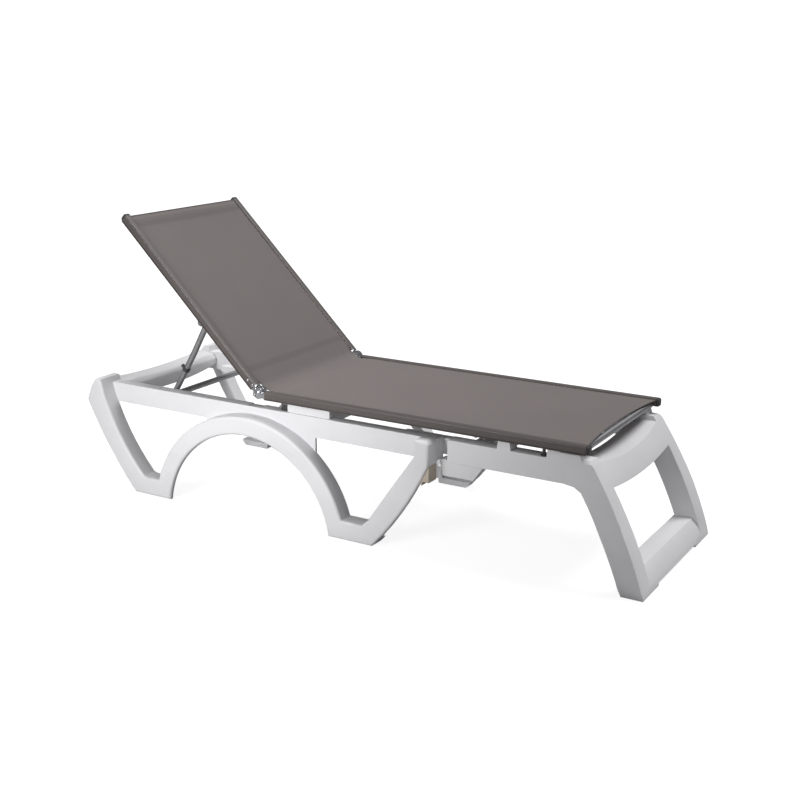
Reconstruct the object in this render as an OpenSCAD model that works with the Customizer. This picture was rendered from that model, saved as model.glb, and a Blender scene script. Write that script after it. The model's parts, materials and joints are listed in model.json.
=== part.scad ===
// Reclining sun lounger: moulded resin base in two halves, aluminium sling frame,
// hinged back and a fold-out support bail.
// +X points to the foot end, +Z up; the origin is on the floor under the middle.

/* [Base] */
// Width over the two side frames
base_w = 680; // [660:2:700]
// Sideways thickness of the legs and arches
skirt_t = 58; // [50:1:60]
// Width of the long base rails
rail_w = 40; // [34:1:42]
// Underside of the long base rails
rail_low = 296; // [290:1:300]
// Top of the long base rails
rail_top = 362; // [356:1:364]
// Outer radius of the side arch
arch_r = 384.5; // [378:0.5:390]
// Thickness of the arch ring
arch_t = 60.5; // [54:0.5:64]
// Middle of the arch along the lounger
arch_x = -332; // [-336:1:-328]
// Height of the arch's centre, below the floor
arch_z = -47; // [-52:1:-42]

/* [Foot half] */
// Width over the foot half
foot_w = 570; // [566:1:574]
// Width of a portal leg seen from the foot end
portal_leg_w = 56; // [50:1:60]
// How far the portal's top beam dips in the middle
portal_dip = 20; // [8:1:22]
// How far each portal leg stands out sideways at the floor
portal_flare = 12; // [0:1:14]

/* [Sling frame] */
// Distance from the middle to the centre of a sling rail
sling_half = 284.5; // [283:0.5:286]
// Width of a sling rail
tube_w = 25; // [24:0.5:26]
// Height of a sling rail
tube_h = 26; // [24:0.5:27]
// Height of the seat rails' centre
seat_z = 408; // [407:0.5:409]
// End of the seat rails at the foot
seat_end = 818; // [800:1:824]
// Length of the back rails from the hinge
back_len = 741; // [700:1:744]
// Radius of the cross tubes and of the bail
round_r = 10; // [8:0.5:10.5]

/* [Motion] */
// Recline hinge along the lounger
hinge_x = -300; // [-304:1:-296]
// Recline hinge height
hinge_z = 414; // [412:0.5:416]
// Angle of the back above flat
back_angle = 44.5; // [30:0.5:50]

/* [Bail] */
// Distance of the bail pivot from the hinge along the back rail
bail_s = 312; // [310:1:313]
// Depth of the bail pivot under the back rail's centre
bail_drop = 30; // [29.5:0.5:30.5]
// Distance from the middle to a bail leg
bail_half = 230; // [226:0.5:231]
// Place of the bail's cross bar along the lounger
bar_x = -708; // [-712:1:-704]
// Height of the bail's cross bar
bar_z = 336; // [335:0.5:340]

/* [Hidden] */
$fn = 64;

white = [0.93, 0.93, 0.95];
taupe = [0.46, 0.42, 0.40];
sling_colour = [0.50, 0.46, 0.44];
steel = [0.62, 0.63, 0.66];
chrome = [0.80, 0.81, 0.84];
dark = [0.16, 0.15, 0.15];
beige = [0.72, 0.64, 0.52];

bond = 2;                                   // overlap that joins two regions of one moulding
half_w = base_w / 2;
skirt_in = half_w - skirt_t;                // inner face of the legs
rail_out = skirt_in + bond;                 // outer face of the long rails
rail_in = rail_out - rail_w;                // inner face of the long rails
base_end = 345;                             // foot end of the head half
web_t = 9;                                  // thickness of the web over the arch
lip_t = 16;                                 // depth of the skirt where it is open at the back
wall_t = 7;                                 // walls that close the skirt towards the windows
sole_t = 20;                                // soles of the hollow legs
rib_t = 4;
web_x0 = -526;
web_x1 = -90;
window_floor = 62;
foot_end = 1006;                            // how far the two ends stand from the middle
beam_x0 = -985;
beam_x1 = -903;
beam_dip = 22;
foot_half = foot_w / 2;
foot_in = foot_half - 46;
foot_top = 366;
foot_low = 298;
shoulder_top = 375;                         // top of the portal's legs
portal_top = 362;                           // ends of the portal's top beam
foot_step = 10;                             // soles under the ends of the low bar
foot_rail_x = 381;
portal_in = foot_half - portal_leg_w;
neck_in = rail_in - 29;
bolt_r = 4;
bolt_places = [240, 300];
bolt_z = 330;
tube_face = sling_half - tube_w / 2;        // inner face of the sling rails
tube_wall = 2.2;
tube_round = 5;
lip_out = 2;                                // lip along the foot of a sling rail
cap_l = 9;
knuckle_r = 19;
knuckle_gap = 0.5;
pin_r = 6;
pin_play = 0.05;
flange_l = 5;
rail_start = knuckle_r + knuckle_gap + flange_l;
seat_bottom = seat_z - tube_h / 2;
head_tube_x = -214;
under_tube_z = seat_z - 15;                 // cross tubes that hang under the seat
sling_t = 4;
sling_up = 6;                               // underside of the sling above the rails' centre
sling_gap = 0.5;
cross_drop = 6;                             // cross tubes under the rails' centre
pivot_r = 4;
pivot_play = 0.05;
eye_r = 13;
eye_half = 12;
bend_x = -617;
bend_z = 482;
bend_round = 25;                            // bend radius at the bail's corners
rest_gap = 0.3;
pivot_x = hinge_x - bail_s * cos(back_angle) - bail_drop * sin(back_angle);
pivot_z = hinge_z + bail_s * sin(back_angle) - bail_drop * cos(back_angle);
lean_up = atan2(pivot_x - bend_x, pivot_z - bend_z);
lean_low = atan2(bend_x - bar_x, bend_z - bar_z);
outer_face = sling_half + tube_w / 2;

// Points along a curve that starts at a, leans towards b and ends at c
function curve(a, b, c, n = 8) =
    [for (i = [0:n]) let (t = i / n) (1 - t) * (1 - t) * a + 2 * t * (1 - t) * b + t * t * c];

// Height of a shallow arc that is low in the middle and 0 at y = half
function dip(y, half, depth) = -depth * (1 - (y / half) * (y / half));

// Extrude a side view, drawn as x and z, between two y values
module slab(y0, y1) {
    translate([0, y1, 0]) rotate([90, 0, 0]) linear_extrude(y1 - y0) children();
}

// Extrude an end view, drawn as y and z, between two x values
module run(x0, x1) {
    translate([x0, 0, 0]) rotate([90, 0, 90]) linear_extrude(x1 - x0) children();
}

module cross(x, z, r, y0, y1) {
    translate([x, y1, z]) rotate([90, 0, 0]) cylinder(r = r, h = y1 - y0);
}

module other_side() {
    mirror([0, 1, 0]) children();
}

module both() {
    children();
    mirror([0, 1, 0]) children();
}

module rounded(w, h, r) {
    square([w - 2 * r, h], center = true);
    square([w, h - 2 * r], center = true);
    for (sx = [-1, 1], sz = [-1, 1])
        translate([sx * (w / 2 - r), sz * (h / 2 - r)]) circle(r);
}

// ---- base, head half ----

module arch_outline() {
    intersection() {
        translate([arch_x, arch_z]) difference() {
            circle(arch_r, $fn = 128);
            circle(arch_r - arch_t, $fn = 128);
        }
        translate([arch_x - 500, 0]) square([1000, 500]);
    }
}

module head_leg_outline() {
    polygon(concat(
        [[-806, 0]],
        curve([-826, 22], [-934, 151], [-foot_end, 303]),
        [[-985, 354], [-964, 381], [-940, 381]],
        curve([-923, 322], [-869, 178], [-766, 66], 7),
        [[-750, window_floor], [-680, window_floor], [-680, 0]]));
}

module mid_leg_outline() {
    polygon(concat(
        [[30, 0], [148, 0]],
        curve([152, 3], [272, 132], [base_end, 292], 7),
        [[base_end, 358], [base_end - 9, 367], [300, 367], [296, 315]],
        [[135, 82], [113, window_floor], [30, window_floor]]));
}

module web_outline() {
    difference() {
        translate([web_x0, 0]) square([web_x1 - web_x0, rail_low + bond]);
        translate([arch_x, arch_z]) circle(arch_r - arch_t / 2, $fn = 128);
    }
}

// What the moulding leaves out of the skirt from behind: the arch's ring
module arch_hollow() {
    intersection() {
        translate([arch_x, arch_z]) difference() {
            circle(arch_r - wall_t, $fn = 128);
            circle(arch_r - arch_t - bond, $fn = 128);
        }
        translate([arch_x - 500, -1]) square([1000, 500]);
    }
}

module head_leg_hollow() {
    polygon(concat(
        [[-715, sole_t], [-824, sole_t]],
        curve([-860, 40], [-960, 151], [-1020, 303]),
        [[-1020, 338], [-939, 338]],
        curve([-933, 318], [-879, 170], [-776, 60], 7),
        [[-752, window_floor - wall_t], [-712, window_floor - wall_t]]));
}

module mid_leg_hollow() {
    polygon(concat(
        [[54, sole_t], [172, sole_t]],
        curve([190, 30], [300, 132], [base_end + 10, 285], 7),
        [[296, 285], [142, 76], [118, window_floor - wall_t], [51, window_floor - wall_t]]));
}

module arch_ribs() {
    rib_from = 26;
    translate([arch_x, arch_z]) for (a = [34:16:146]) rotate(a)
        translate([arch_r - arch_t + rib_from, -rib_t / 2])
            square([arch_t - rib_from - wall_t / 2, rib_t]);
}

module rail_outline() {
    translate([beam_x0, rail_low]) square([base_end - beam_x0, rail_top - rail_low]);
}

module side_frame() {
    color(white) difference() {
        union() {
            difference() {
                slab(-half_w, -skirt_in) {
                    arch_outline();
                    head_leg_outline();
                    mid_leg_outline();
                }
                slab(-half_w + lip_t, -skirt_in + 1) {
                    arch_hollow();
                    head_leg_hollow();
                    mid_leg_hollow();
                }
            }
            slab(-half_w + lip_t - bond, -rail_out - 6) arch_ribs();
            // cap of the head leg, over the end of the rail
            slab(-skirt_in - bond, -rail_in)
                polygon([[-990, 343], [-985, 354], [-964, 381], [-940, 381], [-930, 343]]);
            slab(-rail_out, -rail_out + web_t) web_outline();
            slab(-rail_out, -rail_in) rail_outline();
            // saddle under the seat rail
            slab(-rail_out + 8, -rail_in) translate([-200, rail_top - bond])
                square([159, seat_bottom - rail_top + bond]);
        }
        for (x = bolt_places) cross(x, bolt_z, bolt_r, -rail_in - 26, -rail_in + 1);
        // shallow recess in the rail's top beside the hinge
        slab(-rail_out + 5, -rail_in + 1) translate([-357, rail_top - 3]) square([51, 10]);
    }
}

module head_crossbeam() {
    steps = 12;
    deck = rail_top - 4;
    rise = 6;
    top_dip = 12;
    tops = [for (i = [0:steps]) let (y = rail_in - 2 * rail_in * i / steps)
        [y, deck + rise + dip(y, rail_in, top_dip)]];
    lows = [for (i = [0:steps]) let (y = -rail_in + 2 * rail_in * i / steps)
        [y, 318 + dip(y, rail_in, beam_dip)]];
    color(white) intersection() {
        run(beam_x0, beam_x1) polygon(concat(tops, lows));
        slab(-half_w, half_w) polygon([[beam_x0, 280], [beam_x1, 280], [beam_x1, 340],
            [beam_x1 - 14, deck], [beam_x0, deck + rise]]);
    }
}

module mid_crossbeam() {
    color(white) slab(-rail_in, rail_in)
        polygon([[-196, 300], [-120, 300], [-112, 310], [-112, 352], [-120, rail_top],
            [-196, rail_top]]);
}

// Ledge that the bail's bar stands on, with a toothed strip along the rail
module notch_rack() {
    ledge_top = bar_z - round_r - rest_gap;
    strip_t = rail_in - bail_half - round_r - 0.6;
    notches = [-812, -760, bar_x, -656, -604];
    color(white) {
        slab(-rail_in, -rail_in + 46)
            polygon([[-846, 304], [-574, 304], [-566, 312], [-566, ledge_top],
                [-846, ledge_top]]);
        slab(-rail_in, -rail_in + strip_t) difference() {
            translate([-846, ledge_top - bond]) square([280, 20]);
            for (x = notches) {
                translate([x, bar_z]) circle(round_r + rest_gap);
                translate([x - round_r - rest_gap, bar_z]) square([2 * round_r + 2 * rest_gap, 30]);
            }
        }
    }
}

// ---- base, foot half ----

// Side view of the portal: a band that leans towards the foot end
module portal_outline() {
    polygon(concat(
        [[758, foot_low], [783, 295]],
        curve([806, 281], [882, 165], [938, 0], 7),
        [[foot_end - 2, 0], [foot_end, 3]],
        curve([foot_end - 1, 8], [950, 190], [840, 358], 7),
        [[826, shoulder_top], [758, shoulder_top]]));
}

// End view of the portal: two legs, a dipped beam and a low bar
module portal_face() {
    steps = 14;
    step_y = 2 * portal_in / steps;
    tops = [for (i = [0:steps]) let (y = portal_in - step_y * i)
        [y, portal_top + dip(y, portal_in, portal_dip)]];
    lips = [for (i = [0:steps]) let (y = portal_in - step_y * i)
        [y, 293 + dip(y, portal_in, 12)]];
    flare = foot_half + portal_flare;
    difference() {
        polygon(concat(
            [[-flare + 6, 0], [-flare, 26], [-flare, 170], [-foot_half - 3, 300],
             [-foot_half, shoulder_top - 8], [-foot_half + 10, shoulder_top],
             [-portal_in - 5, shoulder_top]],
            [for (i = [steps:-1:0]) tops[i]],
            [[portal_in + 5, shoulder_top], [foot_half - 10, shoulder_top],
             [foot_half, shoulder_top - 8], [foot_half + 3, 300], [flare, 170],
             [flare, 26], [flare - 6, 0]],
            [[170, 0], [164, foot_step], [-164, foot_step], [-170, 0]]));
        polygon(concat(lips, [[-portal_in, 70], [portal_in, 70]]));
    }
}

module foot_rail() {
    slab(-foot_half, -foot_in)
        translate([foot_rail_x, foot_low])
            square([790 - foot_rail_x, foot_top - foot_low]);
    slab(-rail_in, -neck_in) translate([205, 306]) square([235, 50]);
    slab(-foot_half + 9, -foot_in + 1)
        polygon([[350, foot_low + bond], [361, 251], [462, 251], [497, foot_low + bond]]);
    for (x = [545, 700]) translate([x, 0, 0]) slab(-foot_half, -foot_in)
        polygon([[-4, foot_top - bond], [40, foot_top - bond], [36, seat_bottom],
            [0, seat_bottom]]);
    // block between the last saddle and the shoulder of the portal
    slab(-foot_half, -foot_in)
        polygon([[730, foot_top - bond], [806, foot_top - bond], [798, 388], [730, 388]]);
    translate([775, -foot_half + 20, foot_low - 7]) cylinder(r = 5, h = 9);
}

module foot_frame() {
    color(white) difference() {
        union() {
            intersection() {
                slab(-half_w, half_w) portal_outline();
                run(700, foot_end) portal_face();
            }
            both() foot_rail();
            slab(-foot_in - bond, foot_in + bond)
                translate([440, 302]) square([54, 56]);
        }
        // low bar leans back under the lip of the portal
        slab(-portal_in, portal_in)
            polygon([[foot_end + 4, 0], [991, 44], [966, 74], [990, 90], [foot_end + 9, 90]]);
        // bolt holes in the necks
        both() for (x = bolt_places) cross(x, bolt_z, bolt_r, -rail_in - 1, -neck_in + 1);
    }
}

// Filler behind the curved edge of the middle leg, where the halves meet
module coupling_wedge() {
    color(beige) slab(-half_w + 8, -skirt_in - 2) difference() {
        polygon([[base_end, 290], [base_end, 238], [326, 240], [300, 190], [286, 200]]);
        mid_leg_outline();
        translate([200, 100]) square([118, 140]);
    }
}

module coupling_bolts() {
    color(steel) both() for (x = bolt_places) {
        cross(x, bolt_z, bolt_r, -rail_in - 26, -neck_in);
        cross(x, bolt_z, 8, -neck_in, -neck_in + 2);
        translate([x, -neck_in + 8, bolt_z]) rotate([90, 0, 0]) cylinder(r = 7, h = 6, $fn = 6);
    }
}

// ---- sling frame ----

// Section of a sling rail, centred, with its inner side towards +y
module rail_section() {
    translate([-tube_w / 2 - lip_out, -tube_h / 2]) square([tube_w / 2, lip_out]);
    difference() {
        rounded(tube_w, tube_h, tube_round);
        translate([0, -4]) rounded(tube_w - 2 * tube_wall, tube_h - 8 - 2 * tube_wall, 3);
        translate([1, 8]) circle(2.9);
        translate([1, 8 - 1.4]) square([tube_w, 2.8]);
    }
}

module rail_length(x0, x1) {
    translate([0, -sling_half, 0]) run(x0, x1) rail_section();
}

// Plug with a flat head, for a rail that ends at x0
module end_cap(x0, way) {
    translate([x0, -sling_half, 0]) scale([way, 1, 1])
        run(0, cap_l - 3) rounded(tube_w, tube_h, tube_round);
    translate([x0 + way * (cap_l - 3), -sling_half, 0]) scale([way, 1, 1])
        run(0, 3) rounded(tube_w - 4, tube_h - 4, tube_round - 2);
}

module on_seat() {
    translate([0, 0, seat_z]) children();
}

// The back is drawn flat, running to -x from the hinge, then raised
module on_back() {
    translate([hinge_x, 0, hinge_z]) rotate([0, back_angle, 0]) children();
}

module seat_rail() {
    color(taupe) on_seat() rail_length(hinge_x + rail_start, seat_end);
}

module seat_end_caps() {
    color(dark) on_seat() both() end_cap(seat_end, 1);
}

module back_rail() {
    color(taupe) on_back() rail_length(-back_len, -rail_start);
}

module back_end_caps() {
    color(dark) on_back() both() end_cap(-back_len, -1);
}

module tube_across() {
    color(steel) rotate([90, 0, 0])
        translate([0, 0, -tube_face]) difference() {
            cylinder(r = round_r, h = 2 * tube_face);
            translate([0, 0, -1]) cylinder(r = round_r - 1.5, h = 2 * tube_face + 2);
        }
}

module seat_head_tube() {
    translate([head_tube_x, 0, under_tube_z]) tube_across();
}

module seat_mid_tube() {
    translate([466, 0, under_tube_z]) tube_across();
}

module seat_foot_tube() {
    translate([800, 0, seat_z - 7]) tube_across();
}

module back_lower_tube() {
    on_back() translate([-85, 0, -cross_drop]) tube_across();
}

module back_upper_tube() {
    on_back() translate([-702, 0, -cross_drop]) tube_across();
}

// Hooks that hold the head tube of the seat down on the base
module seat_clips() {
    color(dark) both() slab(-tube_face + 1, -rail_in - 6) difference() {
        union() {
            translate([head_tube_x, under_tube_z]) circle(round_r + 3);
            translate([head_tube_x - round_r - 3, rail_top])
                square([2 * round_r + 6, under_tube_z - rail_top]);
        }
        translate([head_tube_x, under_tube_z]) circle(round_r);
    }
}

module seat_bolts() {
    color(dark) both() translate([684, -foot_half + 12, 0]) {
        translate([0, 0, foot_top]) cylinder(r = 5, h = seat_bottom - foot_top);
        translate([0, 0, foot_top]) cylinder(r = 9, h = 4);
        translate([0, 0, seat_bottom - 4]) cylinder(r = 7.5, h = 4);
    }
}

// Half-width disc with an arm and a flange that closes the rail's end
module knuckle(y0, y1, way, drop, bore) {
    arm = knuckle_r + knuckle_gap;
    difference() {
        union() {
            cross(0, 0, knuckle_r, y0, y1);
            translate([way > 0 ? 0 : -arm - 1, y0, -drop - 9]) cube([arm + 1, y1 - y0, 18]);
            translate([way * arm, -sling_half, -drop]) scale([way, 1, 1])
                run(0, flange_l) rounded(tube_w, tube_h, tube_round);
        }
        cross(0, 0, bore, y0 - 1, y1 + 1);
    }
}

module seat_knuckle() {
    color(chrome) translate([hinge_x, 0, hinge_z])
        knuckle(-outer_face, -sling_half - knuckle_gap / 2, 1, hinge_z - seat_z, pin_r);
}

module back_knuckle() {
    color(chrome) on_back()
        knuckle(-sling_half + knuckle_gap / 2, -tube_face, -1, 0, pin_r + pin_play);
}

module hinge_pins() {
    color(chrome) both() translate([hinge_x, 0, hinge_z]) {
        cross(0, 0, pin_r, -outer_face, -tube_face + 1);
        cross(0, 0, 10, -outer_face - 3, -outer_face);
        cross(0, 0, 7, -outer_face - 6, -outer_face - 3);
        cross(0, 0, 9, -tube_face + 1, -tube_face + 4);
    }
}

// Domed rivet heads on the outer face of a knuckle
module rivet(x, z, y) {
    cross(x, z, 4.5, y - 2, y);
    cross(x, z, 3, y - 3.2, y - 2);
}

module seat_rivets() {
    color(chrome) both() translate([hinge_x, 0, hinge_z]) {
        rivet(15, 2, -outer_face);
        rivet(11, -12, -outer_face);
        rivet(-8, 13.5, -outer_face);
        rivet(-14, -8, -outer_face);
    }
}

module back_rivets() {
    color(chrome) on_back() both() {
        rivet(-32, 0, -outer_face);
        rivet(-54, 0, -outer_face);
    }
}

module sling_panel(x0, x1) {
    color(sling_colour) translate([x0, -tube_face + sling_gap, sling_up])
        cube([x1 - x0, 2 * (tube_face - sling_gap), sling_t]);
}

module sling_seat() {
    on_seat() sling_panel(hinge_x + 32, seat_end - 14);
}

module sling_back() {
    on_back() sling_panel(-back_len, -32);
}

// ---- bail ----

module bail_bracket() {
    color(steel) on_back() difference() {
        slab(-tube_face, -tube_face + 4) {
            translate([-bail_s, -bail_drop]) circle(13);
            translate([-bail_s - 13, -bail_drop]) square([26, bail_drop + 6]);
        }
        cross(-bail_s, -bail_drop, pivot_r, -tube_face - 1, -tube_face + 5);
    }
}

module bail_pins() {
    color(chrome) on_back() both() translate([-bail_s, 0, -bail_drop]) {
        cross(0, 0, pivot_r, -tube_face, -bail_half + eye_half + 4);
        cross(0, 0, 8, -tube_face - 4, -tube_face);
        cross(0, 0, 7, -bail_half + eye_half + rest_gap, -bail_half + eye_half + 5);
    }
}

module bail_spacers() {
    color(dark) on_back() both() translate([-bail_s, 0, -bail_drop]) difference() {
        cross(0, 0, 8, -tube_face + 4, -bail_half - eye_half - rest_gap);
        cross(0, 0, pivot_r, -tube_face, -bail_half);
    }
}

// Stations down the right leg and round the corner: [x, y, z, lean of the leg]
leg_stations = concat(
    [[pivot_x - 16 * sin(lean_up), -bail_half, pivot_z - 16 * cos(lean_up), lean_up]],
    [for (i = [0:4])
        let (p = curve([bend_x + 30 * sin(lean_up), bend_z + 30 * cos(lean_up)], [bend_x, bend_z],
            [bend_x - 30 * sin(lean_low), bend_z - 30 * cos(lean_low)], 4)[i])
        [p[0], -bail_half, p[1], lean_up + (lean_low - lean_up) * i / 4]],
    [for (a = [0:15:90])
        let (up = bend_round * (1 - sin(a)))
        [bar_x + up * sin(lean_low), -bail_half + bend_round * (1 - cos(a)),
         bar_z + up * cos(lean_low), lean_low]]);
last = len(leg_stations) - 1;
bail_stations = concat(leg_stations,
    [for (i = [last:-1:0]) let (s = leg_stations[i]) [s[0], -s[1], s[2], s[3]]]);
bail_sides = 12;

function place(i) = [for (k = [0:2]) bail_stations[i][k]];
function unit(v) = v / norm(v);

// One ring of points round the tube at a station
function ring(i) =
    let (end = len(bail_stations) - 1,
         t = unit(place(min(i + 1, end)) - place(max(i - 1, 0))),
         lean = bail_stations[i][3],
         v = [-cos(lean), 0, sin(lean)],
         u = cross(t, v))
    [for (k = [0:bail_sides - 1]) let (a = 360 * k / bail_sides)
        place(i) + round_r * (cos(a) * u + sin(a) * v)];

module bail() {
    rings = len(bail_stations);
    points = [for (i = [0:rings - 1]) each ring(i)];
    sides = [for (i = [0:rings - 2], k = [0:bail_sides - 1])
        let (a = i * bail_sides, n = (k + 1) % bail_sides)
        [a + k, a + n, a + n + bail_sides, a + k + bail_sides]];
    near_cap = [for (k = [bail_sides - 1:-1:0]) k];
    far_cap = [for (k = [0:bail_sides - 1]) (rings - 1) * bail_sides + k];
    color(steel) polyhedron(points, concat(sides, [near_cap, far_cap]), convexity = 6);
}

// End fittings of the bail: an eye for the pivot and a socket for the tube
module bail_eyes() {
    color(steel) both() translate([pivot_x, -bail_half, pivot_z]) difference() {
        union() {
            cross(0, 0, eye_r, -eye_half, eye_half);
            rotate([0, 180 + lean_up, 0]) cylinder(r = eye_half - 0.8, h = 34);
        }
        cross(0, 0, pivot_r + pivot_play, -eye_half - 1, eye_half + 1);
        rotate([0, 180 + lean_up, 0]) translate([0, 0, 15.8]) cylinder(r = round_r + 0.02, h = 40);
    }
}

// Snap collars with a thumb tab, part way down the bail's legs
module bail_clips() {
    color(dark) both() translate([bar_x, -bail_half, bar_z]) rotate([0, lean_low, 0])
        translate([0, 0, 108]) difference() {
            union() {
                cylinder(r = round_r + 2.5, h = 14);
                translate([-round_r - 12, -4, 2]) cube([14, 8, 10]);
            }
            translate([0, 0, -1]) cylinder(r = round_r, h = 16);
        }
}

side_frame();  // side_frame_right
other_side() side_frame();  // side_frame_left
head_crossbeam();
mid_crossbeam();
notch_rack();  // notch_rack_right
other_side() notch_rack();  // notch_rack_left
foot_frame();
coupling_wedge();  // coupling_wedge_right
other_side() coupling_wedge();  // coupling_wedge_left
coupling_bolts();
seat_rail();  // seat_rail_right
other_side() seat_rail();  // seat_rail_left
seat_end_caps();
seat_head_tube();
seat_mid_tube();
seat_foot_tube();
seat_clips();
seat_bolts();
seat_knuckle();  // seat_knuckle_right
other_side() seat_knuckle();  // seat_knuckle_left
hinge_pins();
seat_rivets();
sling_seat();
back_rail();  // back_rail_right
other_side() back_rail();  // back_rail_left
back_end_caps();
back_lower_tube();
back_upper_tube();
back_knuckle();  // back_knuckle_right
other_side() back_knuckle();  // back_knuckle_left
back_rivets();
bail_bracket();  // bail_bracket_right
other_side() bail_bracket();  // bail_bracket_left
bail_pins();
bail_spacers();
sling_back();
bail();
bail_eyes();
bail_clips();
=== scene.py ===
import json
import math

import bmesh
import bpy
from mathutils import Matrix, Vector


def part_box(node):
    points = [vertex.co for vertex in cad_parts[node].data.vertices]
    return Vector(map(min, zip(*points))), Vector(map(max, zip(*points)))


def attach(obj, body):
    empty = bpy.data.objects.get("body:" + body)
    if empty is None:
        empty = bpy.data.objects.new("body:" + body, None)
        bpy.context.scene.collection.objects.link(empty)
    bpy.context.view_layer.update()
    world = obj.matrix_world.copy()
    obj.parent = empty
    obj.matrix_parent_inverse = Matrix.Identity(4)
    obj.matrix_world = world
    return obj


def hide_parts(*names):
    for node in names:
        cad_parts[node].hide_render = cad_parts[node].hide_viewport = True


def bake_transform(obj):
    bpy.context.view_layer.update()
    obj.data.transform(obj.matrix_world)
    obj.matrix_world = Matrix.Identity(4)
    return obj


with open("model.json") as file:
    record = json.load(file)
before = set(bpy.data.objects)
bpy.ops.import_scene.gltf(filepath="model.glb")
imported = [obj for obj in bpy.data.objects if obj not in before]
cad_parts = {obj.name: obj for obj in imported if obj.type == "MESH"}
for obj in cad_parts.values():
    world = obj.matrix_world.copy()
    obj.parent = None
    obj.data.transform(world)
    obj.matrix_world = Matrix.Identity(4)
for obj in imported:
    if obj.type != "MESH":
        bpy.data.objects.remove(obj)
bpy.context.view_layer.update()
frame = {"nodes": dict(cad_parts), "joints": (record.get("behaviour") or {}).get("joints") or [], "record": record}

# Places that the looks share with the CAD model, in metres
JOINTS = {j["name"]: Vector(j["pos_m"]) for j in frame["joints"]}
HINGE = JOINTS["recline"]
PIVOT = JOINTS["bail_swing"]
BACK_ANGLE = math.radians(44.5)
RAIL_IN = -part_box("seat_rail_right")[1].y          # inner face of the sling rails
SEAT_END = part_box("seat_rail_right")[1].x
SEAT_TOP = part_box("sling_seat")[1].z
BACK_LEN = 0.741
TUBES_BEHIND = (0.085, 0.702)                      # tubes behind the back, from the hinge
# strength of the painted shade bands along the tubes behind the back
BAND_SHADE = 0.45
SLING_H = 0.008                                    # the sling over the rails' centre line
SEAT_H = SEAT_TOP - 0.002 - HINGE.z                # the sling over the hinge, on the seat


# ---------- small helpers ----------

def new_object(name, mesh, body=None):
    obj = bpy.data.objects.new(name, mesh)
    bpy.context.scene.collection.objects.link(obj)
    if body:
        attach(obj, body)
    return obj


def mesh_from(verts, faces, name):
    mesh = bpy.data.meshes.new(name)
    mesh.from_pydata([tuple(v) for v in verts], [], faces)
    mesh.validate()
    return mesh


def smooth_by_angle(mesh, degrees):
    """Smooth shading with a hard edge wherever two faces meet at more than the angle."""
    bm = bmesh.new()
    bm.from_mesh(mesh)
    for face in bm.faces:
        face.smooth = True
    for edge in bm.edges:
        if len(edge.link_faces) == 2:
            edge.smooth = edge.calc_face_angle(0.0) < math.radians(degrees)
    bm.to_mesh(mesh)
    bm.free()


def on_back(s, y, h):
    """A point on the raised back: s along it from the hinge, h over the rails' centre line."""
    c, d = math.cos(BACK_ANGLE), math.sin(BACK_ANGLE)
    return Vector((HINGE.x - s * c + h * d, y, HINGE.z + s * d + h * c))


def corner_curve(a, b, c, n):
    """n + 1 points on the soft turn from a to c, pulled towards b."""
    return [a * (1 - t) ** 2 + b * (2 * t * (1 - t)) + c * t ** 2
            for t in (i / n for i in range(n + 1))]


def tube(points, radius, sides):
    """Vertices and faces of a closed round tube along the points, with no twist."""
    verts, faces = [], []
    count = len(points)
    normal = None
    for i, p in enumerate(points):
        ahead = points[min(i + 1, count - 1)] - points[max(i - 1, 0)]
        tangent = ahead.normalized()
        if normal is None:
            normal = tangent.orthogonal().normalized()
        normal = (normal - tangent * normal.dot(tangent)).normalized()
        other = tangent.cross(normal)
        for k in range(sides):
            a = 2 * math.pi * k / sides
            verts.append(p + radius * (math.cos(a) * normal + math.sin(a) * other))
    for i in range(count - 1):
        for k in range(sides):
            n = (k + 1) % sides
            faces.append((i * sides + k, i * sides + n, (i + 1) * sides + n, (i + 1) * sides + k))
    faces.append(tuple(range(sides - 1, -1, -1)))
    faces.append(tuple((count - 1) * sides + k for k in range(sides)))
    return verts, faces


# ---------- materials ----------

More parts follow.
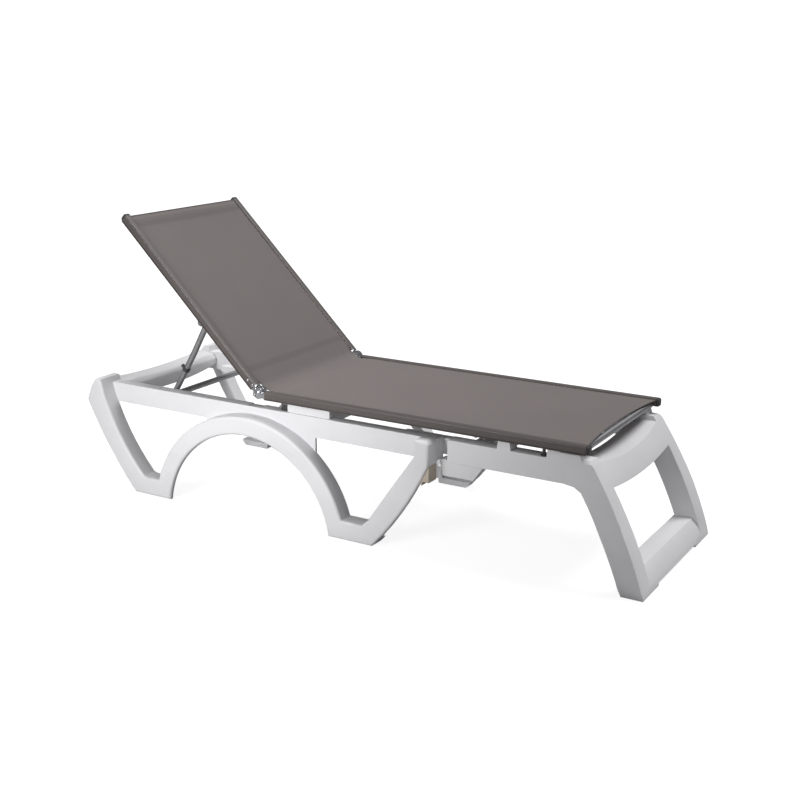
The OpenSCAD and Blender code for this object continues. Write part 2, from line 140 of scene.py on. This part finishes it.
class Look:
    """A material's node tree with one Principled shader, and short calls to add nodes."""

    def __init__(self, name, colour, rough, metal=0.0, **values):
        self.mat = bpy.data.materials.new(name)
        self.mat.use_nodes = True
        self.tree = self.mat.node_tree
        self.shader = self.tree.nodes["Principled BSDF"]
        self.shader.inputs["Base Color"].default_value = (*colour, 1)
        self.shader.inputs["Roughness"].default_value = rough
        self.shader.inputs["Metallic"].default_value = metal
        for key, value in values.items():
            self.shader.inputs[key.replace("_", " ")].default_value = value
        self.mat.diffuse_color = (*colour, 1)
        self.coords = None

    def node(self, kind, **settings):
        n = self.tree.nodes.new(kind)
        for key, value in settings.items():
            if key in n.inputs:
                n.inputs[key].default_value = value
            else:
                setattr(n, key, value)
        return n

    def link(self, a, b):
        self.tree.links.new(a, b)

    def place(self, scale=(1, 1, 1), uv=False):
        """Object coordinates, or the mesh's own UV in metres, stretched by scale."""
        if self.coords is None:
            self.coords = self.node("ShaderNodeTexCoord")
        mapping = self.node("ShaderNodeMapping")
        mapping.inputs["Scale"].default_value = scale
        self.link(self.coords.outputs["UV" if uv else "Object"], mapping.inputs["Vector"])
        return mapping.outputs["Vector"]

    def noise(self, scale, detail=2.0, rough=0.5, at=None):
        n = self.node("ShaderNodeTexNoise")
        n.inputs["Scale"].default_value = scale
        n.inputs["Detail"].default_value = detail
        n.inputs["Roughness"].default_value = rough
        self.link(at or self.place(), n.inputs["Vector"])
        return n.outputs["Fac"]

    def spread(self, value, low, high, out_low, out_high):
        n = self.node("ShaderNodeMapRange")
        for key, v in (("From Min", low), ("From Max", high),
                       ("To Min", out_low), ("To Max", out_high)):
            n.inputs[key].default_value = v
        self.link(value, n.inputs["Value"])
        return n.outputs["Result"]

    def math(self, operation, a, b=None):
        n = self.node("ShaderNodeMath", operation=operation)
        for socket, v in ((n.inputs[0], a), (n.inputs[1], b)):
            if isinstance(v, (int, float)):
                socket.default_value = v
            elif v is not None:
                self.link(v, socket)
        return n.outputs[0]

    def tint(self, amount, colour_a, colour_b):
        """A colour between a and b by amount, a socket. Either may be a colour or a socket."""
        n = self.node("ShaderNodeMix", data_type="RGBA")
        self.link(amount, n.inputs["Factor"])
        for socket, colour in ((n.inputs[6], colour_a), (n.inputs[7], colour_b)):
            if isinstance(colour, tuple):
                socket.default_value = (*colour, 1)
            else:
                self.link(colour, socket)
        return n.outputs[2]

    def bump(self, height, strength, distance):
        n = self.node("ShaderNodeBump")
        n.inputs["Strength"].default_value = strength
        n.inputs["Distance"].default_value = distance
        self.link(height, n.inputs["Height"])
        self.link(n.outputs["Normal"], self.shader.inputs["Normal"])

    def colour(self, socket):
        self.link(socket, self.shader.inputs["Base Color"])

    def rough(self, socket):
        self.link(socket, self.shader.inputs["Roughness"])


def resin(name, colour, shade, rough=0.42):
    """Moulded resin: fine spark-erosion grain, faint flow marks and a few scuffs."""
    m = Look(name, colour, rough, Specular_IOR_Level=0.45)
    flow = m.noise(3.2, 3.0, 0.55, m.place((1.0, 1.0, 2.4)))
    fine = m.noise(60.0, 3.0, 0.6)
    scuff = m.noise(38.0, 5.0, 0.7, m.place((0.25, 1.0, 1.6)))
    tone = m.tint(m.spread(flow, 0.35, 0.7, 0.0, 1.0), colour, shade)
    worn = tuple(0.86 * c for c in shade)
    tone = m.tint(m.spread(scuff, 0.66, 0.8, 0.0, 0.35), tone, worn)
    m.colour(tone)
    m.rough(m.math("ADD", m.spread(fine, 0.3, 0.7, rough - 0.05, rough + 0.06),
                   m.spread(scuff, 0.62, 0.8, 0.0, 0.15)))
    grain = m.noise(1100.0, 1.5, 0.5)
    m.bump(m.math("ADD", m.math("MULTIPLY", grain, 0.35), fine), 0.12, 0.0006)
    return m.mat


def painted_metal(name, colour, rough):
    """Powder coat on aluminium: orange peel, slight rub marks along the length."""
    m = Look(name, colour, rough, metal=0.15, Coat_Weight=0.12, Coat_Roughness=0.35)
    peel = m.noise(420.0, 2.0, 0.5)
    rub = m.noise(30.0, 4.0, 0.6, m.place((0.15, 1.0, 1.0)))
    m.colour(m.tint(m.spread(rub, 0.5, 0.78, 0.0, 0.5), colour, tuple(1.35 * c for c in colour)))
    m.rough(m.spread(peel, 0.3, 0.7, rough - 0.06, rough + 0.08))
    m.bump(peel, 0.14, 0.0005)
    return m.mat


def bare_metal(name, colour, rough, along=(1.0, 0.04, 1.0), grain=0.06):
    """Drawn or polished metal with fine scratches that run along the piece."""
    m = Look(name, colour, rough, metal=1.0)
    lines = m.noise(900.0, 2.0, 0.5, m.place(along))
    cloud = m.noise(25.0, 3.0, 0.55)
    m.colour(m.tint(m.spread(cloud, 0.35, 0.7, 0.0, 1.0), colour, tuple(0.86 * c for c in colour)))
    m.rough(m.math("ADD", m.spread(lines, 0.3, 0.7, rough - grain / 2, rough + grain / 2),
                   m.spread(cloud, 0.5, 0.75, 0.0, grain)))
    m.bump(lines, 0.08, 0.0003)
    return m.mat


def dark_plastic(name, colour):
    m = Look(name, colour, 0.5)
    speck = m.noise(700.0, 2.0, 0.5)
    haze = m.noise(45.0, 3.0, 0.6)
    m.colour(m.tint(m.spread(haze, 0.4, 0.75, 0.0, 1.0), colour, tuple(1.5 * c for c in colour)))
    m.rough(m.spread(haze, 0.3, 0.7, 0.42, 0.6))
    m.bump(speck, 0.2, 0.0004)
    return m.mat


def sling_cloth(name, colour, warp_tone, weft_tone, pitch=0.0019):
    """Coated mesh: round yarns in a basket weave, seen from UVs in metres."""
    m = Look(name, colour, 0.62, Sheen_Weight=0.08, Sheen_Roughness=0.6)
    uv = m.place(uv=True)
    parts = m.node("ShaderNodeSeparateXYZ")
    m.link(uv, parts.inputs[0])
    across, along = parts.outputs[0], parts.outputs[1]
    turn = 2 * math.pi / pitch
    warp = m.math("ABSOLUTE", m.math("SINE", m.math("MULTIPLY", across, turn / 2)))
    weft = m.math("ABSOLUTE", m.math("SINE", m.math("MULTIPLY", along, turn / 2)))
    over = m.math("MULTIPLY", m.math("SINE", m.math("MULTIPLY", across, turn / 4)),
                  m.math("SINE", m.math("MULTIPLY", along, turn / 4)))
    on_top = m.spread(over, -0.25, 0.25, 0.0, 1.0)
    height = m.math("ADD", m.math("MULTIPLY", warp, on_top),
                    m.math("MULTIPLY", weft, m.math("SUBTRACT", 1.0, on_top)))
    yarn = m.tint(on_top, warp_tone, weft_tone)
    # painted shade: the hollows between the yarns are darker
    pit_shade = m.tint(m.spread(height, 0.0, 0.55, 0.0, 1.0), tuple(0.55 * c for c in colour), yarn)
    drift = m.noise(5.0, 3.0, 0.5, uv)
    streak = m.noise(260.0, 2.0, 0.5, m.place((1.0, 0.03, 1.0), uv=True))
    tone = m.tint(m.spread(drift, 0.3, 0.75, 0.0, 0.22), pit_shade, tuple(1.25 * c for c in colour))
    tone = m.tint(m.spread(streak, 0.35, 0.8, 0.0, 0.25), tone, tuple(0.8 * c for c in colour))
    # painted shade: the cloth is a little darker towards the bend, where less light reaches it
    painted_bend_shade = m.math("MINIMUM", m.spread(along, 0.25, 0.68, 0.0, 0.30),
                    m.spread(along, 0.70, 0.80, 0.30, 0.0))
    tone = m.tint(painted_bend_shade, tone, tuple(0.62 * c for c in colour))
    # painted shade: soft darker bands where the tubes behind the back stop the light that comes through the open
    # weave
    for s in TUBES_BEHIND:
        away = m.math("ABSOLUTE", m.math("SUBTRACT", along, BACK_LEN - s))
        tone = m.tint(m.spread(away, 0.006, 0.016, BAND_SHADE, 0.0), tone,
                      tuple(0.6 * c for c in colour))
    m.colour(tone)
    m.rough(m.spread(height, 0.0, 1.0, 0.78, 0.55))
    m.bump(height, 0.35, 0.0004)
    glow = m.node("ShaderNodeBsdfTranslucent")
    m.link(tone, glow.inputs["Color"])
    mix = m.node("ShaderNodeMixShader")
    mix.inputs["Fac"].default_value = 0.16
    out = next(n for n in m.tree.nodes if n.type == "OUTPUT_MATERIAL")
    m.link(m.shader.outputs[0], mix.inputs[1])
    m.link(glow.outputs[0], mix.inputs[2])
    m.link(mix.outputs[0], out.inputs["Surface"])
    return m.mat


def thread(name, colour):
    m = Look(name, colour, 0.7)
    ply = m.noise(1500.0, 2.0, 0.5)
    m.colour(m.tint(m.spread(ply, 0.3, 0.7, 0.0, 1.0), colour, tuple(1.4 * c for c in colour)))
    m.rough(m.spread(ply, 0.3, 0.7, 0.6, 0.8))
    m.bump(ply, 0.3, 0.0002)
    return m.mat


MATERIALS = {
    "resin_white": resin("resin_white", (0.80, 0.796, 0.81), (0.755, 0.748, 0.764)),
    "resin_beige": resin("resin_beige", (0.56, 0.49, 0.40), (0.47, 0.41, 0.33), 0.5),
    "rail_taupe": painted_metal("rail_taupe", (0.115, 0.100, 0.094), 0.42),
    "tube_grey": bare_metal("tube_grey", (0.46, 0.462, 0.472), 0.42),
    "plastic_dark": dark_plastic("plastic_dark", (0.045, 0.042, 0.042)),
    "steel": bare_metal("steel", (0.56, 0.56, 0.58), 0.3, (1, 1, 1)),
    "chrome": bare_metal("chrome", (0.74, 0.75, 0.78), 0.12, (1, 1, 1), 0.04),
    "sling": sling_cloth("sling", (0.215, 0.184, 0.178), (0.235, 0.201, 0.194),
                         (0.200, 0.172, 0.168)),
}
THREAD = thread("sling_thread", (0.11, 0.098, 0.094))


def dress(obj, slot_name, mat=None):
    obj.data.materials.clear()
    obj.data.materials.append(mat or MATERIALS[slot_name])


def dress_cad_nodes():
    """Every CAD node takes the material that the record's slot names."""
    for part in frame["record"]["subparts"]:
        obj = frame["nodes"][part["node"]]
        obj.data.materials.clear()
        obj.data.materials.append(MATERIALS[part["material_slot"]])


# ---------- pieces with softened edges ----------

RIM_TURN = 40.0


def sharp_edges(bm, turn, least):
    """Convex edges longer than least whose faces meet at more than turn, in degrees."""
    return [e for e in bm.edges
            if len(e.link_faces) == 2
            and e.calc_face_angle(0.0) > math.radians(turn)
            and e.calc_length() > least
            and e.is_convex]


def round_over(bm, edges, radius, segments):
    bmesh.ops.bevel(bm, geom=edges, offset=radius, offset_type="OFFSET", segments=segments,
                    profile=0.5, affect="EDGES", clamp_overlap=True, loop_slide=True)


def softened(node, radius, body, least=0.004, turn=25.0, face_radius=0.0):
    """A copy of a CAD node with its edges rounded over, which stands for the node.
    Edges shorter than least, such as those round a bolt hole, stay sharp. Edges of the
    outermost side face take face_radius, if one is given."""
    bm = bmesh.new()
    bm.from_mesh(frame["nodes"][node].data)
    bmesh.ops.remove_doubles(bm, verts=bm.verts, dist=0.00002)
    bmesh.ops.dissolve_limit(bm, angle_limit=math.radians(0.5), verts=bm.verts, edges=bm.edges)
    if face_radius:
        outer = max(abs(v.co.y) for v in bm.verts) - 0.0002
        rim = [e for e in sharp_edges(bm, turn, 0.0) if all(abs(v.co.y) > outer for v in e.verts)]
        round_over(bm, rim, face_radius, 5)
    # the rounded rim is itself made of small turns, which must not be rounded again
    round_over(bm, sharp_edges(bm, RIM_TURN if face_radius else turn, least), radius, 3)
    bmesh.ops.triangulate(bm, faces=[f for f in bm.faces if len(f.verts) > 4])
    mesh = bpy.data.meshes.new(node + "_soft")
    bm.to_mesh(mesh)
    bm.free()
    smooth_by_angle(mesh, 32)
    obj = new_object(node + "_soft", mesh, body)
    slot_name = next(p["material_slot"] for p in frame["record"]["subparts"] if p["node"] == node)
    dress(obj, slot_name)
    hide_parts(node)
    return obj


def soften_all():
    base_parts = {
        "side_frame_right": 0.0025, "side_frame_left": 0.0025, "foot_frame": 0.0035,
        "head_crossbeam": 0.005, "mid_crossbeam": 0.004,
        "notch_rack_right": 0.002, "notch_rack_left": 0.002,
        "coupling_wedge_right": 0.003, "coupling_wedge_left": 0.003,
        "seat_end_caps": 0.0015, "seat_clips": 0.0015,
        "seat_knuckle_right": 0.0015, "seat_knuckle_left": 0.0015,
        "hinge_pins": 0.0012, "seat_rivets": 0.0012,
    }
    back_parts = {
        "back_end_caps": 0.0015, "back_knuckle_right": 0.0015, "back_knuckle_left": 0.0015,
        "back_rivets": 0.0012, "bail_bracket_right": 0.001, "bail_bracket_left": 0.001,
    }
    for node, radius in base_parts.items():
        softened(node, radius, "base", least=0.004 if radius > 0.0025 else 0.0,
                 face_radius=0.009 if node.startswith("side_frame") else 0.0)
    for node, radius in back_parts.items():
        softened(node, radius, "back", least=0.0)
    softened("bail_clips", 0.001, "bail", least=0.0)


# ---------- the sling ----------

SLING_T = 0.0013            # thickness of the cloth
SLOT_DEPTH = 0.007          # how far the cloth runs into the rails' slots
HINGE_HALF = 0.2645         # half the cloth's width where it passes between the knuckles
FILLET = 0.034              # the cloth turns over this length each side of the hinge
SAG = 0.0022                # the cloth hangs by this much between the rails
FOOT_BOW = 0.020            # the foot edge is hollow by this much
FOOT_EDGE = SEAT_END - 0.003
FOOT_BOW_REACH = 0.22       # the bow fades out over this length of the seat
NARROW_TO = 0.026           # the cloth is narrow up to this far from the corner
WIDEN_OVER = 0.022          # and widens into the slots over this length
HANG_IN = 0.05              # the hang starts over this length at each end
RIPPLE = 0.0005             # height of the faint ripples beside the bend
RIPPLE_REACH = 0.09


def sling_line():
    """Side view of the cloth: points from the head edge to the foot edge, each with its
    distance along the cloth, and the corner where the planes of back and seat meet."""
    # where the two planes meet, so that the turn is even on both sides
    d, c = math.sin(BACK_ANGLE), math.cos(BACK_ANGLE)
    meet_s = (SLING_H * c - SEAT_H) / d * -1.0
    corner = on_back(meet_s, 0.0, SLING_H)
    back_dir = Vector((-c, 0, d))
    seat_dir = Vector((1, 0, 0))
    a = corner + back_dir * FILLET
    b = corner + seat_dir * FILLET
    back_run = BACK_LEN - meet_s - FILLET
    back_steps, bend_steps, seat_steps = 36, 14, 56
    rows = [corner + back_dir * (FILLET + back_run * (1 - i / back_steps))
            for i in range(back_steps)]
    rows += corner_curve(a, corner, b, bend_steps)
    seat_run = FOOT_EDGE - b.x
    rows += [b + seat_dir * (seat_run * i / seat_steps) for i in range(1, seat_steps + 1)]
    along, line = 0.0, []
    for i, p in enumerate(rows):
        if i:
            along += (p - rows[i - 1]).length
        line.append((along, p))
    return line, corner


def half_width(p, corner):
    """The cloth is in the rails' slots, and narrower where it passes between the knuckles."""
    away = (Vector((p.x, 0, p.z)) - Vector((corner.x, 0, corner.z))).length
    t = min(max((away - NARROW_TO) / WIDEN_OVER, 0.0), 1.0)
    t = t * t * (3 - 2 * t)
    return HINGE_HALF + (RAIL_IN + SLOT_DEPTH - HINGE_HALF) * t


def make_sling():
    line, corner = sling_line()
    count, columns = len(line), 44
    total = line[-1][0]
    verts, uvs = [], []
    for i, (along, p) in enumerate(line):
        ahead = line[min(i + 1, count - 1)][1] - line[max(i - 1, 0)][1]
        up = Vector((-ahead.z, 0, ahead.x)).normalized()
        half = half_width(p, corner)
        ends = min(along, total - along)
        hang = SAG * min(1.0, ends / HANG_IN)
        for k in range(columns + 1):
            f = 2 * k / columns - 1
            # closer columns at the edges, where the cloth bends into the slots
            g = math.copysign(abs(f) ** 0.85, f)
            drop = hang * (1 - g * g)
            x_pull = 0.0
            if p.x > corner.x:
                share = max(0.0, (p.x - FOOT_EDGE) / FOOT_BOW_REACH + 1)
                x_pull = -FOOT_BOW * (1 - g * g) * share * share
            near = math.exp(-(((p - corner).length / RIPPLE_REACH) ** 2))
            ripple = RIPPLE * math.sin(41.0 * g + 6.0 * along) * near
            v = Vector((p.x + x_pull, g * half, p.z)) - up * (drop + ripple)
            verts.append(v)
            uvs.append((g * half, along + x_pull))
    width = columns + 1
    faces = [(i * width + k, (i + 1) * width + k, (i + 1) * width + k + 1, i * width + k + 1)
             for i in range(count - 1) for k in range(columns)]
    mesh = mesh_from(verts, faces, "sling")
    layer = mesh.uv_layers.new(name="flat")
    for loop in mesh.loops:
        layer.data[loop.index].uv = uvs[loop.vertex_index]
    obj = new_object("sling_sheet", mesh)
    thick = obj.modifiers.new("thickness", "SOLIDIFY")
    thick.thickness = SLING_T
    thick.offset = 0.0
    deps = bpy.context.evaluated_depsgraph_get()
    solid = bpy.data.meshes.new_from_object(obj.evaluated_get(deps))
    obj.modifiers.clear()
    obj.data = solid
    for poly in solid.polygons:
        poly.use_smooth = True
    dress(obj, "sling")
    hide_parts("sling_seat", "sling_back")
    return obj, corner, total


def hem(name, points, body, radius=0.0019):
    """The folded edge of the cloth, a flat roll along its end."""
    verts, faces = tube(points, radius, 14)
    mesh = mesh_from(verts, faces, name)
    smooth_by_angle(mesh, 50)
    obj = new_object(name, mesh, body)
    dress(obj, "sling", THREAD)
    return obj


def stitches(name, points, normals, body, pitch=0.0042, length=0.0028, radius=0.00042):
    """A row of stitches along a line on the cloth, each a short thread that dips at its ends."""
    verts, faces = [], []
    crown, dive = 0.00075, 0.0009          # height in the middle, and the drop to the ends
    steps = [(points[i + 1] - points[i]).length for i in range(len(points) - 1)]
    total = sum(steps)
    place = pitch

    def along(distance):
        left = distance
        for i, step in enumerate(steps):
            if left <= step:
                t = left / step
                return (points[i].lerp(points[i + 1], t), normals[i].lerp(normals[i + 1], t))
            left -= step
        return points[-1], normals[-1]

    while place + length < total:
        path = []
        for j in range(5):
            p, n = along(place + length * j / 4)
            lift = crown - dive * (j / 2 - 1) ** 2
            path.append(p + n * lift)
        v, f = tube(path, radius, 6)
        start = len(verts)
        verts.extend(v)
        faces.extend(tuple(start + q for q in face) for face in f)
        place += pitch
    mesh = mesh_from(verts, faces, name)
    smooth_by_angle(mesh, 60)
    obj = new_object(name, mesh, body)
    dress(obj, "sling", THREAD)
    return obj


def sling_edges():
    """Hems at the head and foot edges with a row of stitches beside each."""
    lean = Vector((math.sin(BACK_ANGLE), 0, math.cos(BACK_ANGLE)))
    up = Vector((0, 0, 1))
    pieces = []
    count = 40
    head, head_row, foot, foot_row = [], [], [], []
    for k in range(count + 1):
        g = 2 * k / count - 1
        y = g * (RAIL_IN - 0.0008)
        head.append(on_back(BACK_LEN - 0.002, y, SLING_H))
        head_row.append(on_back(BACK_LEN - 0.022, y, SLING_H - SAG * 0.44 * (1 - g * g)))
        bow = FOOT_BOW * (1 - g * g)
        foot.append(Vector((FOOT_EDGE - 0.001 - bow, y, HINGE.z + SEAT_H)))
        foot_row.append(Vector((FOOT_EDGE - 0.020 - bow * 0.9, y,
                                HINGE.z + SEAT_H - SAG * 0.4 * (1 - g * g))))
    pieces.append(hem("sling_head_hem", head, "back"))
    pieces.append(hem("sling_foot_hem", foot, "base"))
    pieces.append(stitches("sling_head_stitches", head_row, [lean] * (count + 1), "back"))
    pieces.append(stitches("sling_foot_stitches", foot_row, [up] * (count + 1), "base"))
    return pieces


# ---------- the bail ----------

def make_bail():
    """The bent tube, smooth where the CAD solid is faceted, on the same line."""
    bend = Vector((-0.617, 0, 0.482))
    bar = Vector((-0.708, 0, 0.336))
    half = 0.230
    round_r = 0.010
    corner_r = 0.025
    top = Vector((PIVOT.x, 0, PIVOT.z))
    upper = (bend - top).normalized()
    lower = (bar - bend).normalized()
    eye_gap = 0.016            # the tube starts this far from the pivot
    bend_run = 0.030
    side = [top + upper * eye_gap]
    side += corner_curve(bend - upper * bend_run, bend, bend + lower * bend_run, 10)
    points = [Vector((p.x, -half, p.z)) for p in side]
    turn_steps = 12
    for i in range(turn_steps + 1):
        a = math.radians(90 * i / turn_steps)
        up = corner_r * (1 - math.sin(a))
        p = bar - lower * up
        points.append(Vector((p.x, -half + corner_r * (1 - math.cos(a)), p.z)))
    points += [Vector((p.x, -p.y, p.z)) for p in reversed(points)]
    verts, faces = tube(points, round_r - 0.00002, 28)     # just inside the CAD surface
    mesh = mesh_from(verts, faces, "bail_tube")
    smooth_by_angle(mesh, 50)
    obj = new_object("bail_tube", mesh, "bail")
    dress(obj, "tube_grey")
    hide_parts("bail")
    return obj


# ---------- stage ----------

def seen_and_cast(tree, seen, cast):
    """Mixes two shaders: what the camera sees, and what lights the object."""
    path = tree.nodes.new("ShaderNodeLightPath")
    mix = tree.nodes.new("ShaderNodeMixShader")
    tree.links.new(path.outputs["Is Camera Ray"], mix.inputs["Fac"])
    tree.links.new(cast, mix.inputs[1])
    tree.links.new(seen, mix.inputs[2])
    return mix.outputs[0]


def make_stage():
    reach = 150
    mesh = mesh_from([(-reach, -reach, 0), (reach, -reach, 0), (reach, reach, 0),
                      (-reach, reach, 0)], [(0, 1, 2, 3)], "floor")
    floor = new_object("studio_floor", mesh)
    look = Look("studio_floor", (0.36, 0.36, 0.36), 0.9)
    lit = look.node("ShaderNodeAddShader")
    glow = look.node("ShaderNodeEmission")
    glow.inputs["Color"].default_value = (1, 1, 1, 1)
    glow.inputs["Strength"].default_value = 0.86
    look.link(look.shader.outputs[0], lit.inputs[0])
    look.link(glow.outputs[0], lit.inputs[1])
    out = next(n for n in look.tree.nodes if n.type == "OUTPUT_MATERIAL")
    look.link(seen_and_cast(look.tree, lit.outputs[0], look.shader.outputs[0]),
              out.inputs["Surface"])
    floor.data.materials.append(look.mat)

    world = bpy.data.worlds.new("studio")
    bpy.context.scene.world = world
    world.use_nodes = True
    tree = world.node_tree
    cast = tree.nodes["Background"]
    cast.inputs["Color"].default_value = (0.97, 0.97, 1.0, 1)
    cast.inputs["Strength"].default_value = 0.16
    seen = tree.nodes.new("ShaderNodeBackground")
    seen.inputs["Color"].default_value = (1, 1, 1, 1)
    seen.inputs["Strength"].default_value = 1.05
    out = next(n for n in tree.nodes if n.type == "OUTPUT_WORLD")
    tree.links.new(seen_and_cast(tree, seen.outputs[0], cast.outputs[0]), out.inputs["Surface"])


def area_light(name, place, aim, size, power):
    data = bpy.data.lights.new(name, "AREA")
    data.shape = "RECTANGLE"
    data.size, data.size_y = size
    data.energy = power
    obj = bpy.data.objects.new(name, data)
    bpy.context.scene.collection.objects.link(obj)
    obj.location = place
    obj.rotation_euler = (Vector(aim) - Vector(place)).to_track_quat("-Z", "Y").to_euler()
    return obj


def make_lights():
    sun = bpy.data.lights.new("overhead", "SUN")
    sun.energy = 2.4
    sun.angle = math.radians(36)
    obj = bpy.data.objects.new("overhead", sun)
    bpy.context.scene.collection.objects.link(obj)
    obj.rotation_euler = Vector((-0.20, -0.40, -1)).to_track_quat("-Z", "Y").to_euler()
    key = area_light("key", (-0.65, -3.0, 1.2), (-0.40, 0, 0.25), (1.2, 1.2), 7.6)
    key.data.spread = math.radians(52)
    area_light("front_fill", (2.2, -3.0, 2.6), (0, 0, 0.3), (2.0, 2.0), 13.5)
    head = area_light("head_fill", (-1.9, 0.3, 1.7), (-0.93, 0, 0.36), (0.9, 0.9), 0.9)
    head.data.spread = math.radians(60)


def make_camera():
    azimuth, elevation, roll = math.radians(30.63), math.radians(15.71), math.radians(0.15)
    back = Vector((math.sin(azimuth) * math.cos(elevation),
                   -math.cos(azimuth) * math.cos(elevation), math.sin(elevation)))
    right = Vector((0, 0, 1)).cross(back).normalized()
    up = back.cross(right)
    r = math.cos(roll) * right + math.sin(roll) * up
    u = -math.sin(roll) * right + math.cos(roll) * up
    data = bpy.data.cameras.new("camera")
    data.sensor_width = 36.0
    data.lens = 1243.84 / 800 * data.sensor_width
    obj = bpy.data.objects.new("camera", data)
    bpy.context.scene.collection.objects.link(obj)
    matrix = Matrix((r, u, back)).transposed().to_4x4()
    matrix.translation = Vector((2.03304, -3.34917, 1.46608))
    obj.matrix_world = matrix
    bpy.context.scene.camera = obj


dress_cad_nodes()
soften_all()
sling, sling_corner, sling_length = make_sling()
edges = sling_edges()
make_bail()
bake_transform(sling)
make_stage()
make_lights()
make_camera()
bpy.context.scene.view_settings.view_transform = "Standard"
